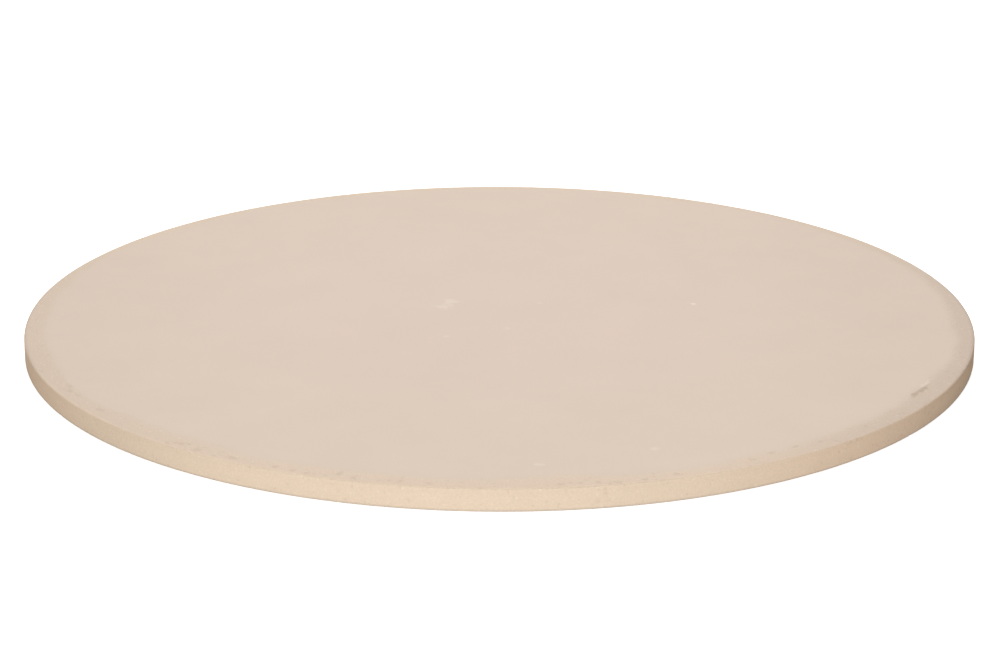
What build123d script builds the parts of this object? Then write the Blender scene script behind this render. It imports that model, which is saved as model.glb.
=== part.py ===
from build123d import *

import os

# A round pizza stone: one slab of pressed and fired cordierite.
# Millimetres, +Z up. The origin is the centre of the underside, which rests on the oven rack.

# Size of the slab
stone_diameter = 406.0
stone_thickness = 9.5

# Rim of the baking face, which rolls off gently towards the wall so that a peel slides over it
roll_off_width = 9.0
roll_off_drop = 0.4

# Rounds of the wall's two edges, as the die leaves them
upper_edge_round = 0.7
lower_edge_round = 0.4


def rim_section():
    """Half of the slab's section, from the axis out to the wall, with the rim's profile.

    It is drawn flat, radius along X and height along Y, and stood up on the XZ plane.
    """
    rim_radius = stone_diameter / 2
    wall_foot = (rim_radius, 0)
    wall_head = (rim_radius, stone_thickness - roll_off_drop)
    baking_face_edge = (rim_radius - roll_off_width, stone_thickness)
    baking_face_centre = (0, stone_thickness)

    with BuildSketch() as section:
        with BuildLine():
            Line((0, 0), wall_foot)
            Line(wall_foot, wall_head)
            # The roll-off leaves the flat face without a crease and is steepest at the wall
            TangentArc(baking_face_edge, wall_head, tangent=Vector(1, 0))
            Line(baking_face_edge, baking_face_centre)
            Line(baking_face_centre, (0, 0))
        make_face()
        lower_corner = section.vertices().group_by(Axis.X)[-1].sort_by(Axis.Y)[0]
        fillet(lower_corner, lower_edge_round)
        upper_corner = section.vertices().group_by(Axis.X)[-1].sort_by(Axis.Y)[-1]
        fillet(upper_corner, upper_edge_round)
    return Plane.XZ * section.sketch


def baking_stone():
    """The whole stone, turned from its section about the vertical axis."""
    return revolve(rim_section(), axis=Axis.Z)


os.makedirs("parts", exist_ok=True)
export_step(baking_stone(), "parts/baking_stone.step")
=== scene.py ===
import math

import bpy
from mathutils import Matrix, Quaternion, Vector, noise


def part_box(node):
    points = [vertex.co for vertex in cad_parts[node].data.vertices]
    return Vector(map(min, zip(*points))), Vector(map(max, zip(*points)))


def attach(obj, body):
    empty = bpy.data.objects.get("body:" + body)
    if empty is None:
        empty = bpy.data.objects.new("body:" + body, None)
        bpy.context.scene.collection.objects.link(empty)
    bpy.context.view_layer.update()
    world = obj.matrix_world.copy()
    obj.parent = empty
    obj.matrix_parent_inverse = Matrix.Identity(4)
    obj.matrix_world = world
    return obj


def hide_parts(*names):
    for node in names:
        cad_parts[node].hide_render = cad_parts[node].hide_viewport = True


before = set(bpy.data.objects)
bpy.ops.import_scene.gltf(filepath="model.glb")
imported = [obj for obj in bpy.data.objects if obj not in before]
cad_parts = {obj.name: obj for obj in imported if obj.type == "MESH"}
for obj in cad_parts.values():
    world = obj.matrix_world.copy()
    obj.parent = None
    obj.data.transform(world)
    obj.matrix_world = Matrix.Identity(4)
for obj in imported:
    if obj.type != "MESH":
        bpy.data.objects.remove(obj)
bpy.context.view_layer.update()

# The slab's box, in metres, as the frame gives it
stone_low, stone_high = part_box("baking_stone")
MM = 0.001
RIM_RADIUS = min(stone_high.x, stone_high.y, -stone_low.x, -stone_low.y)
THICKNESS = stone_high.z

# The rim's profile, as the slab is pressed
ROLL_OFF_WIDTH = 9.0 * MM
ROLL_OFF_DROP = 0.4 * MM
UPPER_EDGE_ROUND = 0.7 * MM
UPPER_ROUND_END_DEGREES = 84
LOWER_EDGE_ROUND = 0.4 * MM
BREAK_RADIUS = RIM_RADIUS - ROLL_OFF_WIDTH

# How finely the open, grainy skin of the wall and rim is modelled, and the smooth faces inside it
CENTRE_STEPS = 28
RIM_STEPS = CENTRE_STEPS * 2**6
GRAIN_STEP = 0.8 * MM
FACE_MARGIN = 6.0 * MM
FACE_RING_STEP = 4.0 * MM
UNDERSIDE_RING_STEP = 12.0 * MM
ROUND_STEPS = 4
MERGE_DISTANCE = 0.01 * MM
EDGE_ANGLE = math.radians(50)

# Relief of the fired skin: how deep it goes below the pressed surface, and how wide its marks are
WAVER_DEPTH, WAVER_WIDTH = 0.10 * MM, 26.0 * MM
SWELL_DEPTH, SWELL_WIDTH = 0.05 * MM, 40.0 * MM
GRAIN_DEPTH, GRAIN_WIDTH = 0.07 * MM, 1.7 * MM
PIT_DEPTH, PIT_SPACING = 0.22 * MM, 4.4 * MM
PIT_CLUSTER_WIDTH, PIT_CLUSTER_RANGE = 14.0 * MM, (-0.15, 0.35)
PIT_ATTRIBUTE = "pit"

# How far a pit's floor and its lip are from its centre, as shares of the spacing
PIT_FLOOR, PIT_LIP = 0.05, 0.26

# Where each relief begins and ends, as distances from the axis
WAVER_SPAN = (BREAK_RADIUS - 3.0 * MM, RIM_RADIUS - 3.0 * MM)
SWELL_FADE = (BREAK_RADIUS - 12.0 * MM, BREAK_RADIUS)
OPEN_BAND_SPAN = (BREAK_RADIUS - 1.5 * MM, BREAK_RADIUS + 3.0 * MM)
OPEN_FOOT_SPAN = (RIM_RADIUS - 2.0 * MM, RIM_RADIUS)

# How open the skin is inside the rim, where the open skin's own share is 1
FACE_OPENNESS, UNDERSIDE_OPENNESS = 0.12, 0.30


def deselect_all():
    """Leaves nothing selected for the next operator."""
    bpy.ops.object.select_all(action="DESELECT")


def arc(centre_radius, centre_height, size, start, end, steps):
    """Points (radius, height) along a round of the profile; angles are degrees above outward."""
    points = []
    for step in range(steps + 1):
        angle = math.radians(start + (end - start) * step / steps)
        outward, upward = size * math.cos(angle), size * math.sin(angle)
        points.append((centre_radius + outward, centre_height + upward))
    return points


def straight(start, end, step):
    """Points (radius, height) on a straight stretch, without its start."""
    count = max(1, round(math.dist(start, end) / step))
    return [
        (start[0] + (end[0] - start[0]) * n / count, start[1] + (end[1] - start[1]) * n / count)
        for n in range(1, count + 1)
    ]


def rim_profile():
    """The rim's section, from the underside out, up the wall and in to the flat face."""
    wall_head = THICKNESS - ROLL_OFF_DROP
    roll = (ROLL_OFF_WIDTH**2 + ROLL_OFF_DROP**2) / (2 * ROLL_OFF_DROP)
    underside = (RIM_RADIUS - FACE_MARGIN, 0)
    points = [underside]
    points += straight(underside, (RIM_RADIUS - LOWER_EDGE_ROUND, 0), GRAIN_STEP)
    lower_round = (RIM_RADIUS - LOWER_EDGE_ROUND, LOWER_EDGE_ROUND, LOWER_EDGE_ROUND)
    points += arc(*lower_round, -90, 0, ROUND_STEPS)[1:]
    points += straight(points[-1], (RIM_RADIUS, wall_head - UPPER_EDGE_ROUND), GRAIN_STEP)
    upper_round = (RIM_RADIUS - UPPER_EDGE_ROUND, wall_head - UPPER_EDGE_ROUND, UPPER_EDGE_ROUND)
    points += arc(*upper_round, 0, UPPER_ROUND_END_DEGREES, ROUND_STEPS)[1:]
    band_steps = round((ROLL_OFF_WIDTH - UPPER_EDGE_ROUND) / GRAIN_STEP)
    for step in range(1, band_steps + 1):
        inward = UPPER_EDGE_ROUND + (ROLL_OFF_WIDTH - UPPER_EDGE_ROUND) * step / band_steps
        along = ROLL_OFF_WIDTH - inward
        points.append((RIM_RADIUS - inward, THICKNESS - roll + math.sqrt(roll**2 - along**2)))
    face_edge = (RIM_RADIUS - ROLL_OFF_WIDTH - FACE_MARGIN, THICKNESS)
    points += straight(points[-1], face_edge, 2 * GRAIN_STEP)
    return points


def face_rings(outer_radius, height, ring_step):
    """Rings (radius, height, steps) from a flat face's middle out, with more steps outwards."""
    rings = []
    radius, steps = ring_step, CENTRE_STEPS
    while radius < outer_radius - ring_step:
        if math.tau * radius / steps > ring_step:
            steps *= 2
        rings.append((radius, height, steps))
        radius += ring_step
    gap = outer_radius - rings[-1][0]
    while steps < RIM_STEPS / 2:
        steps *= 2
        gap /= 2
        rings.append((outer_radius - gap, height, steps))
    rings.append((outer_radius, height, RIM_STEPS))
    return rings


def draw_surface(rings):
    """In edit mode, adds a filled round at the first ring and draws it on through the others."""
    radius, height, steps = rings[0]
    bpy.ops.mesh.select_all(action="DESELECT")
    bpy.ops.mesh.primitive_circle_add(
        vertices=steps, radius=radius, fill_type="NGON", location=(0, 0, height)
    )
    for next_radius, next_height, next_steps in rings[1:]:
        if next_steps > steps:
            bpy.ops.mesh.subdivide(number_cuts=1)
            bpy.ops.transform.tosphere(value=1)
            # The new points lay inside the round, so all now stand at the mean of both radii
            radius *= (1 + math.cos(math.pi / steps)) / 2
            steps = next_steps
        rise = (0, 0, next_height - height)
        bpy.ops.mesh.extrude_edges_move(TRANSFORM_OT_translate={"value": rise})
        scale = next_radius / radius
        bpy.ops.transform.resize(value=(scale, scale, 1), center_override=(0, 0, next_height))
        radius, height = next_radius, next_height


def ramp(value, start, end):
    """0 before start, 1 after end and smooth in between."""
    share = min(1.0, max(0.0, (value - start) / (end - start)))
    return share * share * (3 - 2 * share)


def clustering(point):
    """How crowded the pits are round a point of the rim, from 0 to 1."""
    return ramp(noise.noise(point / PIT_CLUSTER_WIDTH), *PIT_CLUSTER_RANGE)


def weigh(stone, name, weight_at):
    """A vertex group whose weights follow the vertex's place and distance from the axis."""
    group = stone.vertex_groups.new(name=name)
    for vertex in stone.data.vertices:
        group.add([vertex.index], weight_at(vertex.co, vertex.co.xy.length), "REPLACE")


def sink(stone, name, texture, depth, group, direction="NORMAL"):
    """Presses a texture's light parts in, as the group allows. Returns each vertex's share."""
    before = [vertex.co.copy() for vertex in stone.data.vertices]
    relief = stone.modifiers.new(name, "DISPLACE")
    relief.texture = texture
    relief.texture_coords = "LOCAL"
    relief.direction = direction
    relief.mid_level = 0
    relief.strength = -depth
    relief.vertex_group = group
    bpy.ops.object.modifier_apply(modifier=name)
    after = stone.data.vertices
    return [(vertex.co - start).length / depth for vertex, start in zip(after, before)]


def cloud_texture(name, width, detail):
    """Soft clouds whose marks are about a width across."""
    texture = bpy.data.textures.new(name, "CLOUDS")
    texture.noise_scale = width
    texture.noise_depth = detail
    return texture


def pit_texture(name, spacing):
    """Small round pits, one at each cell's point, with smooth skin between them."""
    texture = bpy.data.textures.new(name, "VORONOI")
    texture.noise_scale = spacing
    texture.use_color_ramp = True
    texture.color_ramp.elements[0].position = PIT_FLOOR
    texture.color_ramp.elements[0].color = (1, 1, 1, 1)
    texture.color_ramp.elements[1].position = PIT_LIP
    texture.color_ramp.elements[1].color = (0, 0, 0, 1)
    return texture


def stone_slab():
    """The pressed slab, drawn as rings from its underside to its baking face, with its relief."""
    deselect_all()
    profile = rim_profile()
    bpy.ops.object.add(type="MESH")
    stone = bpy.context.object
    stone.name = "fired_stone"
    bpy.ops.object.mode_set(mode="EDIT")
    rim = [(radius, height, RIM_STEPS) for radius, height in profile[1:]]
    draw_surface(face_rings(*profile[0], UNDERSIDE_RING_STEP) + rim)
    draw_surface(face_rings(*profile[-1], FACE_RING_STEP))
    bpy.ops.mesh.select_all(action="SELECT")
    bpy.ops.mesh.remove_doubles(threshold=MERGE_DISTANCE)
    bpy.ops.mesh.normals_make_consistent(inside=False)
    bpy.ops.object.mode_set(mode="OBJECT")

    def roll_off(place, radius):
        if place.z < THICKNESS / 2:
            return 0
        return ramp(radius, *WAVER_SPAN)

    def faces(place, radius):
        return 1 - ramp(radius, *SWELL_FADE)

    def open_skin(place, radius):
        if place.z > THICKNESS / 2:
            open_band = ramp(radius, *OPEN_BAND_SPAN)
            return FACE_OPENNESS + (1 - FACE_OPENNESS) * open_band
        open_wall = ramp(radius, *OPEN_FOOT_SPAN)
        return UNDERSIDE_OPENNESS + (1 - UNDERSIDE_OPENNESS) * open_wall

    def pitted(place, radius):
        return open_skin(place, radius) * clustering(place)

    weigh(stone, "roll_off", roll_off)
    weigh(stone, "faces", faces)
    weigh(stone, "open_skin", open_skin)
    weigh(stone, "pitted", pitted)
    waver = cloud_texture("waver", WAVER_WIDTH, 1)
    sink(stone, "roll_off_waver", waver, WAVER_DEPTH, "roll_off", "Z")
    swell = cloud_texture("swell", SWELL_WIDTH, 1)
    sink(stone, "pressed_swell", swell, SWELL_DEPTH, "faces")
    grain = cloud_texture("grain", GRAIN_WIDTH, 2)
    sink(stone, "fired_grain", grain, GRAIN_DEPTH, "open_skin")
    pits = sink(stone, "open_pits", pit_texture("pits", PIT_SPACING), PIT_DEPTH, "pitted")
    stone.data.attributes.new(PIT_ATTRIBUTE, "FLOAT", "POINT").data.foreach_set("value", pits)
    bpy.ops.object.shade_smooth_by_angle(angle=EDGE_ANGLE)
    return stone


# Colours of the fired body, linear, and of the painted shade and highlights laid on it
FACE_COLOUR = (0.711, 0.582, 0.494, 1)
OUTER_FACE_COLOUR = (0.704, 0.577, 0.482, 1)
FRONT_FACE_COLOUR = (0.709, 0.587, 0.485, 1)
BAND_COLOUR = (0.754, 0.612, 0.482, 1)
# The band's rubbed colour, which also carries the painted shade at its sides and at the right
RUBBED_AND_SHADED_COLOUR = (0.646, 0.525, 0.432, 1)
WALL_COLOUR = (0.752, 0.622, 0.489, 1)
# Painted warm shade tint for the wall's sides, which lie in shade
WALL_WARM_SHADE_COLOUR = (0.792, 0.625, 0.478, 1)
# Painted shade along the wall's upper edge, which dims the light its round catches
UPPER_WALL_PAINTED_SHADE = (0.972, 0.966, 0.962, 1)
# A painted highlight along the band's outer edge in front, and painted shade on that edge at the
# sides
EDGE_PAINTED_HIGHLIGHT_TINT = (1.06, 1.055, 1.035, 1)
SIDE_EDGE_PAINTED_SHADE_TINT = (0.90, 0.90, 0.91, 1)
# Painted shade along the wall's foot, where it meets the floor
FOOT_PAINTED_SHADE_COLOUR = (0.500, 0.425, 0.355, 1)
PALE_GRAIN_COLOUR = (0.86, 0.78, 0.68, 1)
DARK_GRAIN_COLOUR = (0.40, 0.29, 0.20, 1)

# Noises of the skin: scale, detail and roughness
WANDER_NOISE = (20.0, 3.0, 0.6)
FRAY_NOISE = (480.0, 3.0, 0.65)
MOTTLE_NOISE = (30.0, 4.0, 0.55)
GRAIN_NOISE = (1300.0, 3.0, 0.7)
BLEMISH_NOISE = (480.0, 2.0, 0.5)

# A blemish's outline: how far it strays, and where it fades, as shares of the blemish's size
RAGGEDNESS = 3.0
BLEMISH_FADE = (1.25, 0.25)

# The open skin's inner line: where it lies, how far it wanders and frays, and its shift behind
OPEN_SKIN_LINE = (BREAK_RADIUS - 2.5 * MM, BREAK_RADIUS + 3.5 * MM)
WANDER_REACH = 14.0 * MM
FRAY_REACH = 5.0 * MM
SHIFT_BEHIND = 2.5 * MM

# How much darker the band is rubbed all round, and how much painted shade darkens it more at both
# sides and at the right
RUBBED_ALL_ROUND = 0.12
SHADE_PAINTED_AT_SIDES = 0.45
SHADE_PAINTED_AT_RIGHT = 0.40

# The share of that which is left behind the middle, and what is added far behind it
DARKENING_KEPT_BEHIND = 0.30
RUBBED_FAR_BEHIND = 0.20

# Ranges over which colours change, as shares of the radius: from the middle to both sides,
# from the axis outwards, to its right, or behind it
SIDEWAYS = (0.25, 0.95)
AT_SIDES = (0.86, 0.98)
PAINTED_SHADE_SIDES = (0.42, 0.98)
OUTWARDS = (0.35, 0.90)
RIGHTWARDS = (0.30, 0.95)
RIGHT_WARM_SHADE = (0.30, 0.75)
LEFT_WARM_SHADE = (-0.70, -1.00)
FORWARDS = (0.80, 0.0)
IN_FRONT = (-0.10, -0.75)
BEHIND = (0.0, 0.50)
FAR_BEHIND = (0.50, 0.80)

# Ranges over which colours, painted shade and painted highlights change: in from the wall, down
# from the face, up from the underside
PAINTED_EDGE_LIGHT_IN = (1.8 * MM, 0.5 * MM)
WALL_COLOUR_IN = (1.3 * MM, 0.7 * MM)
WALL_COLOUR_DOWN = (0.45 * MM, 0.95 * MM)
PAINTED_WALL_SHADE_DOWN = (0.6 * MM, 4.5 * MM)
# Painted shade along the foot of the wall: how far up it reaches and how strong it is
FOOT_SHADE_UP = (1.3 * MM, 0.2 * MM)
FOOT_SHADE_STRENGTH = 0.5

# Unevenness of the tone: broad mottling, fine grain on face and open skin, and painted shade
# towards both sides
MOTTLE_TONE = 0.06
FACE_GRAIN_TONE, OPEN_GRAIN_TONE = 0.04, 0.24
SIDE_PAINTED_SHADE = 0.030

# Grains: their spacing, radius and share, and how strong they are on the face and the open skin
DARK_GRAINS = (2.4 * MM, 0.28, 0.35)
DARK_GRAIN_ON_FACE, DARK_GRAIN_ON_OPEN = 0.01, 0.15
PALE_GRAINS = (1.5 * MM, 0.32, 0.35)
PALE_GRAIN_ON_FACE, PALE_GRAIN_ON_OPEN = 0.02, 0.32
# Painted shade inside the pits, darker where a pit is deeper
PIT_PAINTED_SHADE = 0.22

# A grain's shape: how finely and how far its outline bends, its least size, and its solid core
GRAIN_BEND_DENSITY = 2.2
GRAIN_BEND = 0.45
LEAST_GRAIN = 0.5
GRAIN_CORE = 0.3

# Sheen and fine relief
FACE_ROUGHNESS, OPEN_ROUGHNESS = 0.82, 0.08
SPECULAR_LEVEL = 0.2
FACE_RELIEF, OPEN_RELIEF, SUNK_RELIEF = 0.2, 0.8, 1.5
RELIEF_DEPTH = 0.04 * MM


def add(tree, kind, **inputs):
    """A node with some of its inputs set; underscores stand for the blanks in a socket's name."""
    made = tree.nodes.new(kind)
    for name, value in inputs.items():
        made.inputs[name.replace("_", " ")].default_value = value
    return made


def maths(tree, operation, first, second=None):
    """A math node fed by sockets or numbers, as its output."""
    made = tree.nodes.new("ShaderNodeMath")
    made.operation = operation
    for socket, value in zip(made.inputs, (first, second)):
        if isinstance(value, (int, float)):
            socket.default_value = value
        elif value is not None:
            tree.links.new(value, socket)
    return made.outputs[0]


def scaled(tree, value, factor, offset=0.0):
    """A value times a factor, plus an offset, as an output."""
    return maths(tree, "ADD", maths(tree, "MULTIPLY", value, factor), offset)


def noise_at(tree, place, scale, detail, roughness):
    """Noise from 0 to 1, as an output."""
    made = add(tree, "ShaderNodeTexNoise", Scale=scale, Detail=detail, Roughness=roughness)
    tree.links.new(place, made.inputs["Vector"])
    return made.outputs["Fac"]


def either_way(tree, noise_value, reach):
    """A noise turned into a shift of up to half the reach either way, as an output."""
    return maths(tree, "MULTIPLY", maths(tree, "SUBTRACT", noise_value, 0.5), reach)


def smooth_step(tree, value, start, end):
    """0 before start, 1 after end and smooth in between, as an output."""
    made = add(tree, "ShaderNodeMapRange", From_Min=start, From_Max=end)
    made.interpolation_type = "SMOOTHSTEP"
    tree.links.new(value, made.inputs["Value"])
    return made.outputs["Result"]


def by_radius(tree, value, shares):
    """A smooth step of a length between two shares of the radius, as an output."""
    return smooth_step(tree, value, shares[0] * RIM_RADIUS, shares[1] * RIM_RADIUS)


def mix_colour(tree, share, under, over, mode="MIX"):
    """Two colours mixed by a share, as an output; each is a socket or a written colour."""
    made = tree.nodes.new("ShaderNodeMix")
    made.data_type = "RGBA"
    made.blend_type = mode
    # Inputs 6 and 7 and output 2 are the node's sockets for colours
    sockets = (made.inputs["Factor"], made.inputs[6], made.inputs[7])
    for socket, value in zip(sockets, (share, under, over)):
        if isinstance(value, (int, float, tuple)):
            socket.default_value = value
        else:
            tree.links.new(value, socket)
    return made.outputs[2]


def new_group(name, inputs, outputs):
    """An empty shader node group with its sockets, as (group, its input node, its output node)."""
    group = bpy.data.node_groups.new(name, "ShaderNodeTree")
    for socket, kind in inputs.items():
        group.interface.new_socket(name=socket, in_out="INPUT", socket_type=kind)
    for socket, kind in outputs.items():
        group.interface.new_socket(name=socket, in_out="OUTPUT", socket_type=kind)
    return group, group.nodes.new("NodeGroupInput"), group.nodes.new("NodeGroupOutput")


def scattered_grains():
    """Sparse, uneven grains about a spacing apart. Share is how many places hold one."""
    group, given, made = new_group(
        "scattered_grains",
        {
            "Vector": "NodeSocketVector",
            "Density": "NodeSocketFloat",
            "Radius": "NodeSocketFloat",
            "Share": "NodeSocketFloat",
        },
        {"Mask": "NodeSocketFloat"},
    )
    links = group.links
    bend = add(group, "ShaderNodeTexNoise", Detail=1.0)
    links.new(given.outputs["Vector"], bend.inputs["Vector"])
    bend_density = maths(group, "MULTIPLY", given.outputs["Density"], GRAIN_BEND_DENSITY)
    links.new(bend_density, bend.inputs["Scale"])
    cells = add(group, "ShaderNodeTexVoronoi")
    links.new(given.outputs["Vector"], cells.inputs["Vector"])
    links.new(given.outputs["Density"], cells.inputs["Scale"])
    parts = group.nodes.new("ShaderNodeSeparateColor")
    links.new(cells.outputs["Color"], parts.inputs["Color"])
    uneven = either_way(group, bend.outputs["Fac"], GRAIN_BEND)
    distance = maths(group, "ADD", cells.outputs["Distance"], uneven)
    size = maths(group, "ADD", parts.outputs["Green"], LEAST_GRAIN)
    reach = maths(group, "MULTIPLY", given.outputs["Radius"], size)
    edge = add(group, "ShaderNodeMapRange", To_Min=1.0, To_Max=0.0)
    edge.interpolation_type = "SMOOTHSTEP"
    links.new(distance, edge.inputs["Value"])
    links.new(maths(group, "MULTIPLY", reach, GRAIN_CORE), edge.inputs["From Min"])
    links.new(reach, edge.inputs["From Max"])
    present = maths(group, "LESS_THAN", parts.outputs["Red"], given.outputs["Share"])
    links.new(maths(group, "MULTIPLY", edge.outputs["Result"], present), made.inputs["Mask"])
    return group


def ragged_mark():
    """One ragged blemish of the skin. Its size is half its length and width, before its turn."""
    group, given, made = new_group(
        "ragged_mark",
        {
            "Vector": "NodeSocketVector",
            "Place": "NodeSocketVector",
            "Turn": "NodeSocketVector",
            "Size": "NodeSocketVector",
            "Strength": "NodeSocketFloat",
        },
        {"Mask": "NodeSocketFloat"},
    )
    links = group.links
    about = group.nodes.new("ShaderNodeMapping")
    about.vector_type = "TEXTURE"
    links.new(given.outputs["Vector"], about.inputs["Vector"])
    links.new(given.outputs["Place"], about.inputs["Location"])
    links.new(given.outputs["Turn"], about.inputs["Rotation"])
    links.new(given.outputs["Size"], about.inputs["Scale"])
    away = group.nodes.new("ShaderNodeVectorMath")
    away.operation = "LENGTH"
    links.new(about.outputs["Vector"], away.inputs[0])
    rough = noise_at(group, given.outputs["Vector"], *BLEMISH_NOISE)
    share = maths(group, "ADD", away.outputs["Value"], either_way(group, rough, RAGGEDNESS))
    shape = smooth_step(group, share, *BLEMISH_FADE)
    links.new(maths(group, "MULTIPLY", shape, given.outputs["Strength"]), made.inputs["Mask"])
    return group


# Pale blemishes of the face: shares of the radius to the right and behind, size and strength
PALE_MARKS = (
    (-0.104, 0.088, 3.2 * MM, 0.30),
    (-0.118, 0.052, 4.4 * MM, 0.26),
    (0.417, 0.075, 1.6 * MM, 0.60),
    (0.087, 0.076, 1.5 * MM, 0.30),
    (0.016, -0.095, 1.5 * MM, 0.25),
    (-0.109, -0.146, 1.5 * MM, 0.25),
    (0.294, -0.798, 2.0 * MM, 0.25),
    (0.073, -0.881, 2.2 * MM, 0.25),
)

# Faint chafes along the rim: degrees from the right, share of the radius, half length and width
CHAFE_STRENGTH = 0.19
CHAFES = (
    (-151.8, 0.966, 3.0 * MM, 1.2 * MM),
    (-150.4, 0.975, 2.6 * MM, 1.1 * MM),
    (-148.4, 0.972, 3.0 * MM, 1.2 * MM),
    (-142.6, 0.974, 2.0 * MM, 1.2 * MM),
    (-129.2, 0.990, 2.0 * MM, 1.4 * MM),
    (-128.0, 0.978, 3.0 * MM, 1.4 * MM),
    (-127.0, 0.970, 2.0 * MM, 1.2 * MM),
    (-125.1, 0.986, 1.7 * MM, 1.5 * MM),
    (-122.3, 0.990, 1.8 * MM, 1.2 * MM),
    (-120.3, 0.982, 2.4 * MM, 1.5 * MM),
    (-114.8, 0.982, 1.6 * MM, 1.5 * MM),
    (-112.7, 0.986, 1.6 * MM, 1.8 * MM),
    (-111.0, 0.990, 2.0 * MM, 1.2 * MM),
    (-107.5, 0.972, 1.6 * MM, 1.6 * MM),
    (-105.5, 0.982, 1.7 * MM, 1.9 * MM),
    (-100.6, 0.980, 1.6 * MM, 2.0 * MM),
    (-97.6, 0.982, 1.6 * MM, 1.5 * MM),
    (-83.5, 0.984, 1.6 * MM, 1.8 * MM),
    (-81.3, 0.982, 1.8 * MM, 1.2 * MM),
    (-79.6, 0.982, 1.6 * MM, 1.5 * MM),
    (-77.5, 0.990, 1.5 * MM, 1.5 * MM),
    (-74.3, 0.988, 1.6 * MM, 1.4 * MM),
    (-70.6, 0.980, 1.6 * MM, 1.9 * MM),
    (-61.0, 0.975, 2.2 * MM, 1.8 * MM),
    (-58.1, 0.962, 1.9 * MM, 1.2 * MM),
    (-54.6, 0.962, 2.0 * MM, 1.2 * MM),
    (-51.5, 0.970, 1.8 * MM, 1.2 * MM),
)

# A longer, darker scrape in two strokes, with a pale one beside it, written as the chafes are
SCRAPE_STRENGTH = 0.50
SCRAPES = (
    (-31.2, 0.957, 4.2 * MM, 1.2 * MM),
    (-28.9, 0.959, 5.2 * MM, 1.2 * MM),
)
PALE_SCRAPE_STRENGTH = 0.28
PALE_SCRAPES = ((-27.2, 0.951, 5.0 * MM, 1.1 * MM),)


def placed_marks(tree, place, mark, places):
    """The mark's group once for each (place, turn, size, strength), as one mask."""
    mask = None
    for centre, turn, size, strength in places:
        made = tree.nodes.new("ShaderNodeGroup")
        made.node_tree = mark
        tree.links.new(place, made.inputs["Vector"])
        made.inputs["Place"].default_value = centre
        made.inputs["Turn"].default_value = (0, 0, turn)
        made.inputs["Size"].default_value = size
        made.inputs["Strength"].default_value = strength
        one = made.outputs["Mask"]
        mask = one if mask is None else maths(tree, "MAXIMUM", mask, one)
    return mask


def strokes_along_rim(strokes, strength):
    """Places of the marks that run along the rim, as placed_marks takes them."""
    for angle, share, length, width in strokes:
        turn = math.radians(angle)
        radius = share * RIM_RADIUS
        centre = (math.cos(turn) * radius, math.sin(turn) * radius, THICKNESS)
        yield centre, turn, (width, length, length), strength


def pale_places():
    """Places of all pale marks."""
    for right, back, size, strength in PALE_MARKS:
        yield (right * RIM_RADIUS, back * RIM_RADIUS, THICKNESS), 0, (size, size, size), strength
    yield from strokes_along_rim(PALE_SCRAPES, PALE_SCRAPE_STRENGTH)


def chafe_places():
    """Places of all dark marks."""
    yield from strokes_along_rim(CHAFES, CHAFE_STRENGTH)
    yield from strokes_along_rim(SCRAPES, SCRAPE_STRENGTH)


def scatter(tree, place, grains, grain_kind):
    """The grains' group at its spacing, radius and share, as a mask."""
    spacing, radius, share = grain_kind
    made = tree.nodes.new("ShaderNodeGroup")
    made.node_tree = grains
    tree.links.new(place, made.inputs["Vector"])
    made.inputs["Density"].default_value = 1 / spacing
    made.inputs["Radius"].default_value = radius
    made.inputs["Share"].default_value = share
    return made.outputs["Mask"]


def distance_from_axis(tree, place):
    """How far a place is from the stone's axis, as an output."""
    level = tree.nodes.new("ShaderNodeVectorMath")
    level.operation = "MULTIPLY"
    level.inputs[1].default_value = (1, 1, 0)
    tree.links.new(place, level.inputs[0])
    distance = tree.nodes.new("ShaderNodeVectorMath")
    distance.operation = "LENGTH"
    tree.links.new(level.outputs["Vector"], distance.inputs[0])
    return distance.outputs["Value"]


def skin_opening(tree, place, behind, from_axis):
    """0 on the pressed face and 1 on the open skin, past a line that wanders and frays."""
    wandering = either_way(tree, noise_at(tree, place, *WANDER_NOISE), WANDER_REACH)
    fraying = either_way(tree, noise_at(tree, place, *FRAY_NOISE), FRAY_REACH)
    reach = maths(tree, "ADD", from_axis, maths(tree, "ADD", wandering, fraying))
    reach = maths(tree, "SUBTRACT", reach, maths(tree, "MULTIPLY", behind, SHIFT_BEHIND))
    return smooth_step(tree, reach, *OPEN_SKIN_LINE)


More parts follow.
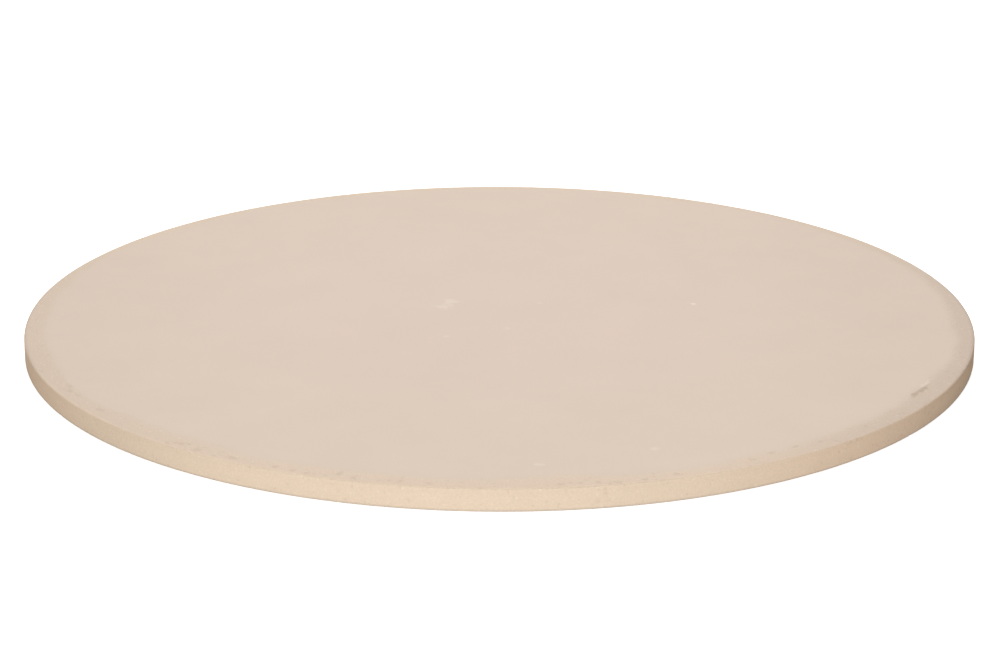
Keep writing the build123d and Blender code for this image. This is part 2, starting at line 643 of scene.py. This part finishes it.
def band_colour(tree, axes, from_axis, from_middle):
    """The rim's band, rubbed a little darker all round, with painted shade darker at its sides and
    more at the right; its outer edge has a painted highlight in front and painted shade at the
    sides.
    """
    sideways = smooth_step(tree, from_middle, *SIDEWAYS)
    rightwards = by_radius(tree, axes["X"], RIGHTWARDS)
    forwards = by_radius(tree, axes["Y"], FORWARDS)
    # Painted shade: the band is darkened more at both sides and at the right, where less light
    # falls
    rubbed_and_shaded = scaled(tree, sideways, SHADE_PAINTED_AT_SIDES, RUBBED_ALL_ROUND)
    rubbed_and_shaded = maths(tree, "ADD", rubbed_and_shaded, maths(tree, "MULTIPLY", rightwards, SHADE_PAINTED_AT_RIGHT))
    kept = scaled(tree, forwards, 1 - DARKENING_KEPT_BEHIND, DARKENING_KEPT_BEHIND)
    rubbed_and_shaded = maths(tree, "MULTIPLY", rubbed_and_shaded, kept)
    far_behind = by_radius(tree, axes["Y"], FAR_BEHIND)
    rubbed_and_shaded = maths(tree, "ADD", rubbed_and_shaded, maths(tree, "MULTIPLY", far_behind, RUBBED_FAR_BEHIND))
    band = mix_colour(tree, rubbed_and_shaded, BAND_COLOUR, RUBBED_AND_SHADED_COLOUR)

    # Painted highlight on the outer edge in front, and painted shade on it at the sides
    at_sides = smooth_step(tree, from_middle, *AT_SIDES)
    near_edge = smooth_step(tree, from_axis, *(RIM_RADIUS - inward for inward in PAINTED_EDGE_LIGHT_IN))
    painted_edge_light = mix_colour(tree, at_sides, EDGE_PAINTED_HIGHLIGHT_TINT, SIDE_EDGE_PAINTED_SHADE_TINT)
    return mix_colour(tree, near_edge, band, painted_edge_light, "MULTIPLY")


def face_colour(tree, axes, from_axis):
    """The pressed face, a little warmer outwards and yellower in front."""
    in_front = by_radius(tree, axes["Y"], IN_FRONT)
    outer_face = mix_colour(tree, in_front, OUTER_FACE_COLOUR, FRONT_FACE_COLOUR)
    return mix_colour(tree, by_radius(tree, from_axis, OUTWARDS), FACE_COLOUR, outer_face)


def wall_colour(tree, axes):
    """The wall, with a painted warm tint of shade towards its sides, and painted shade along its
    upper edge.
    """
    # Painted shade tint: the wall turns warmer towards its sides, where it is in shade
    right_warm_shade = by_radius(tree, axes["X"], RIGHT_WARM_SHADE)
    left_warm_shade = by_radius(tree, axes["X"], LEFT_WARM_SHADE)
    warm_shade = maths(tree, "MAXIMUM", right_warm_shade, left_warm_shade)
    wall = mix_colour(tree, warm_shade, WALL_COLOUR, WALL_WARM_SHADE_COLOUR)
    # Painted shade along the upper edge of the wall, dimming the light its round catches
    painted_shade_wall = mix_colour(tree, 1.0, wall, UPPER_WALL_PAINTED_SHADE, "MULTIPLY")
    below_edge = smooth_step(tree, axes["Z"], *(THICKNESS - down for down in PAINTED_WALL_SHADE_DOWN))
    return mix_colour(tree, below_edge, painted_shade_wall, wall)


def cordierite():
    """Fired, unglazed cordierite: a smooth pressed face, and an open, warmer rim and wall."""
    material = bpy.data.materials.new("fired_cordierite")
    material.use_nodes = True
    tree = material.node_tree
    links = tree.links
    shader = tree.nodes["Principled BSDF"]
    place = tree.nodes.new("ShaderNodeTexCoord").outputs["Object"]
    separated = tree.nodes.new("ShaderNodeSeparateXYZ")
    links.new(place, separated.inputs["Vector"])
    axes = separated.outputs
    from_axis = distance_from_axis(tree, place)
    from_middle = maths(tree, "DIVIDE", maths(tree, "ABSOLUTE", axes["X"]), RIM_RADIUS)

    # The face, the band, the wall and painted shade along the wall's foot
    open_skin = skin_opening(tree, place, by_radius(tree, axes["Y"], BEHIND), from_axis)
    band = band_colour(tree, axes, from_axis, from_middle)
    colour = mix_colour(tree, open_skin, face_colour(tree, axes, from_axis), band)
    outside = smooth_step(tree, from_axis, *(RIM_RADIUS - inward for inward in WALL_COLOUR_IN))
    below_round = smooth_step(tree, axes["Z"], *(THICKNESS - down for down in WALL_COLOUR_DOWN))
    on_wall = maths(tree, "MULTIPLY", outside, below_round)
    colour = mix_colour(tree, on_wall, colour, wall_colour(tree, axes))
    # Painted shade darkens the foot of the wall, where a contact shadow falls
    foot_shade = maths(tree, "MULTIPLY", smooth_step(tree, axes["Z"], *FOOT_SHADE_UP), on_wall)
    foot_shade = maths(tree, "MULTIPLY", foot_shade, FOOT_SHADE_STRENGTH)
    colour = mix_colour(tree, foot_shade, colour, FOOT_PAINTED_SHADE_COLOUR)

    # The tone, mottled and grainy, with painted shade at the sides
    mottling = either_way(tree, noise_at(tree, place, *MOTTLE_NOISE), MOTTLE_TONE)
    grain = noise_at(tree, place, *GRAIN_NOISE)
    grain_tone = scaled(tree, open_skin, OPEN_GRAIN_TONE, FACE_GRAIN_TONE)
    graining = either_way(tree, grain, grain_tone)
    tone = maths(tree, "ADD", maths(tree, "ADD", mottling, graining), 1.0)
    # Painted shade: the stone darkens towards both sides, as the light falls off there
    side_painted_shade = maths(tree, "MULTIPLY", smooth_step(tree, from_middle, *PAINTED_SHADE_SIDES), SIDE_PAINTED_SHADE)
    toned = tree.nodes.new("ShaderNodeVectorMath")
    toned.operation = "SCALE"
    links.new(colour, toned.inputs[0])
    links.new(maths(tree, "SUBTRACT", tone, side_painted_shade), toned.inputs["Scale"])

    # Grains, painted shade in the pits, and blemishes
    grains = scattered_grains()
    mark = ragged_mark()
    pits = tree.nodes.new("ShaderNodeAttribute")
    pits.attribute_name = PIT_ATTRIBUTE
    dark_strength = scaled(tree, open_skin, DARK_GRAIN_ON_OPEN, DARK_GRAIN_ON_FACE)
    dark_grains = maths(tree, "MULTIPLY", scatter(tree, place, grains, DARK_GRAINS), dark_strength)
    pale_strength = scaled(tree, open_skin, PALE_GRAIN_ON_OPEN, PALE_GRAIN_ON_FACE)
    pale_grains = maths(tree, "MULTIPLY", scatter(tree, place, grains, PALE_GRAINS), pale_strength)
    # Painted shade: each pit is darkened by how deep it is sunk
    pit_shade = maths(tree, "MULTIPLY", pits.outputs["Fac"], PIT_PAINTED_SHADE)
    chafed = placed_marks(tree, place, mark, chafe_places())
    dark = maths(tree, "MAXIMUM", dark_grains, maths(tree, "MAXIMUM", pit_shade, chafed))
    pale = maths(tree, "MAXIMUM", pale_grains, placed_marks(tree, place, mark, pale_places()))
    colour = mix_colour(tree, dark, toned.outputs["Vector"], DARK_GRAIN_COLOUR)
    colour = mix_colour(tree, pale, colour, PALE_GRAIN_COLOUR)
    links.new(colour, shader.inputs["Base Color"])

    # Sheen and fine relief
    dullness = maths(tree, "ADD", graining, FACE_ROUGHNESS)
    open_dullness = maths(tree, "MULTIPLY", open_skin, OPEN_ROUGHNESS)
    links.new(maths(tree, "ADD", open_dullness, dullness), shader.inputs["Roughness"])
    raised = maths(tree, "MULTIPLY", grain, scaled(tree, open_skin, OPEN_RELIEF, FACE_RELIEF))
    relief = maths(tree, "SUBTRACT", raised, maths(tree, "MULTIPLY", dark, SUNK_RELIEF))
    bump = add(tree, "ShaderNodeBump", Strength=1.0, Distance=RELIEF_DEPTH)
    links.new(relief, bump.inputs["Height"])
    links.new(bump.outputs["Normal"], shader.inputs["Normal"])
    shader.inputs["Specular IOR Level"].default_value = SPECULAR_LEVEL
    return material


# The studio: a white floor, a low soft lamp in front of the stone and a higher one behind it
FLOOR_SIZE = 14.0
WHITE = (1.0, 1.0, 1.0, 1)
FLOOR_BOUNCE_COLOUR = (0.41, 0.35, 0.28, 1)
FLOOR_GLOW = 0.60
SURROUND_COLOUR = (1.0, 0.93, 0.84, 1)
SURROUND_LEVEL = 0.18
KEY_LEVEL = 0.89
KEY_AZIMUTH = 6.0
KEY_ELEVATION = 17.0
KEY_DISTANCE = 4.0
KEY_SIZE = 2.0
BACK_LEVEL = 1.075
BACK_AZIMUTH = 178.0
BACK_ELEVATION = 33.0
BACK_DISTANCE = 10.0
BACK_SIZE = 6.5


def seen_by_camera(tree):
    """1 on rays from the camera, mirrored or through glass, and 0 on those that light the stone."""
    path = tree.nodes.new("ShaderNodeLightPath")
    seen = maths(tree, "MAXIMUM", path.outputs["Is Camera Ray"], path.outputs["Is Glossy Ray"])
    return maths(tree, "MAXIMUM", seen, path.outputs["Is Transmission Ray"])


def studio_floor():
    """The floor that the stone lies on: white to the camera, and a warm bounce to the stone."""
    deselect_all()
    bpy.ops.mesh.primitive_plane_add(size=FLOOR_SIZE, location=(0, 0, stone_low.z))
    floor = bpy.context.object
    floor.name = "studio_floor"
    material = bpy.data.materials.new("studio_floor")
    material.use_nodes = True
    tree = material.node_tree
    shader = tree.nodes["Principled BSDF"]
    seen = seen_by_camera(tree)
    tree.links.new(mix_colour(tree, seen, FLOOR_BOUNCE_COLOUR, WHITE), shader.inputs["Base Color"])
    tree.links.new(maths(tree, "MULTIPLY", seen, FLOOR_GLOW), shader.inputs["Emission Strength"])
    shader.inputs["Emission Color"].default_value = WHITE
    shader.inputs["Roughness"].default_value = 1.0
    shader.inputs["Specular IOR Level"].default_value = 0.0
    floor.data.materials.append(material)


def surround():
    """The room round the stone: white to the camera, and a faint warm light to the stone."""
    world = bpy.data.worlds.new("studio_surround")
    bpy.context.scene.world = world
    world.use_nodes = True
    tree = world.node_tree
    background = tree.nodes["Background"]
    seen = seen_by_camera(tree)
    tree.links.new(mix_colour(tree, seen, SURROUND_COLOUR, WHITE), background.inputs["Color"])
    strength = maths(tree, "ADD", maths(tree, "MULTIPLY", seen, 1 - SURROUND_LEVEL), SURROUND_LEVEL)
    tree.links.new(strength, background.inputs["Strength"])


def direction(azimuth, elevation):
    """Unit vector from the stone to a place round it. Azimuth 0 is in front and grows leftwards."""
    a, e = math.radians(azimuth), math.radians(elevation)
    return Vector((-math.sin(a) * math.cos(e), -math.cos(a) * math.cos(e), math.sin(e)))


def soft_lamp(name, azimuth, elevation, distance, size, level):
    """A square soft lamp aimed at the stone. A white surface that faces it takes on that level."""
    data = bpy.data.lights.new(name, "AREA")
    data.size = size
    data.energy = level * math.pi**2 * distance**2
    lamp = bpy.data.objects.new(name, data)
    bpy.context.scene.collection.objects.link(lamp)
    towards = direction(azimuth, elevation)
    lamp.location = towards * distance
    lamp.rotation_mode = "QUATERNION"
    lamp.rotation_quaternion = towards.to_track_quat("Z", "Y")
    return lamp


# The camera, as the photograph's outline gives it
CAMERA_ELEVATION = 18.742
CAMERA_DISTANCE_SHARE = 6.362
LENS_MM = 107.44
SENSOR_MM = 36.0
CAMERA_ROLL = 0.1212
AIM_RIGHT_SHARE = 0.0012
AIM_UP_SHARE = 0.00437


def photo_camera():
    """The camera at the photograph's viewing angle and distance."""
    data = bpy.data.cameras.new("photo_camera")
    data.lens = LENS_MM
    data.sensor_width = SENSOR_MM
    camera = bpy.data.objects.new("photo_camera", data)
    bpy.context.scene.collection.objects.link(camera)
    backwards = direction(0, CAMERA_ELEVATION)
    right = Vector((1, 0, 0))
    up = backwards.cross(right)
    aim = (right * AIM_RIGHT_SHARE + up * AIM_UP_SHARE) * RIM_RADIUS
    camera.location = backwards * CAMERA_DISTANCE_SHARE * RIM_RADIUS
    camera.rotation_mode = "QUATERNION"
    look = (camera.location - aim).to_track_quat("Z", "Y")
    camera.rotation_quaternion = look @ Quaternion((0, 0, 1), math.radians(CAMERA_ROLL))
    bpy.context.scene.camera = camera


stone = stone_slab()
stone.data.materials.append(cordierite())
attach(stone, "root")
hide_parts("baking_stone")

studio_floor()
surround()
soft_lamp("key_lamp", KEY_AZIMUTH, KEY_ELEVATION, KEY_DISTANCE, KEY_SIZE, KEY_LEVEL)
soft_lamp("back_lamp", BACK_AZIMUTH, BACK_ELEVATION, BACK_DISTANCE, BACK_SIZE, BACK_LEVEL)
photo_camera()
bpy.context.scene.view_settings.view_transform = "Standard"
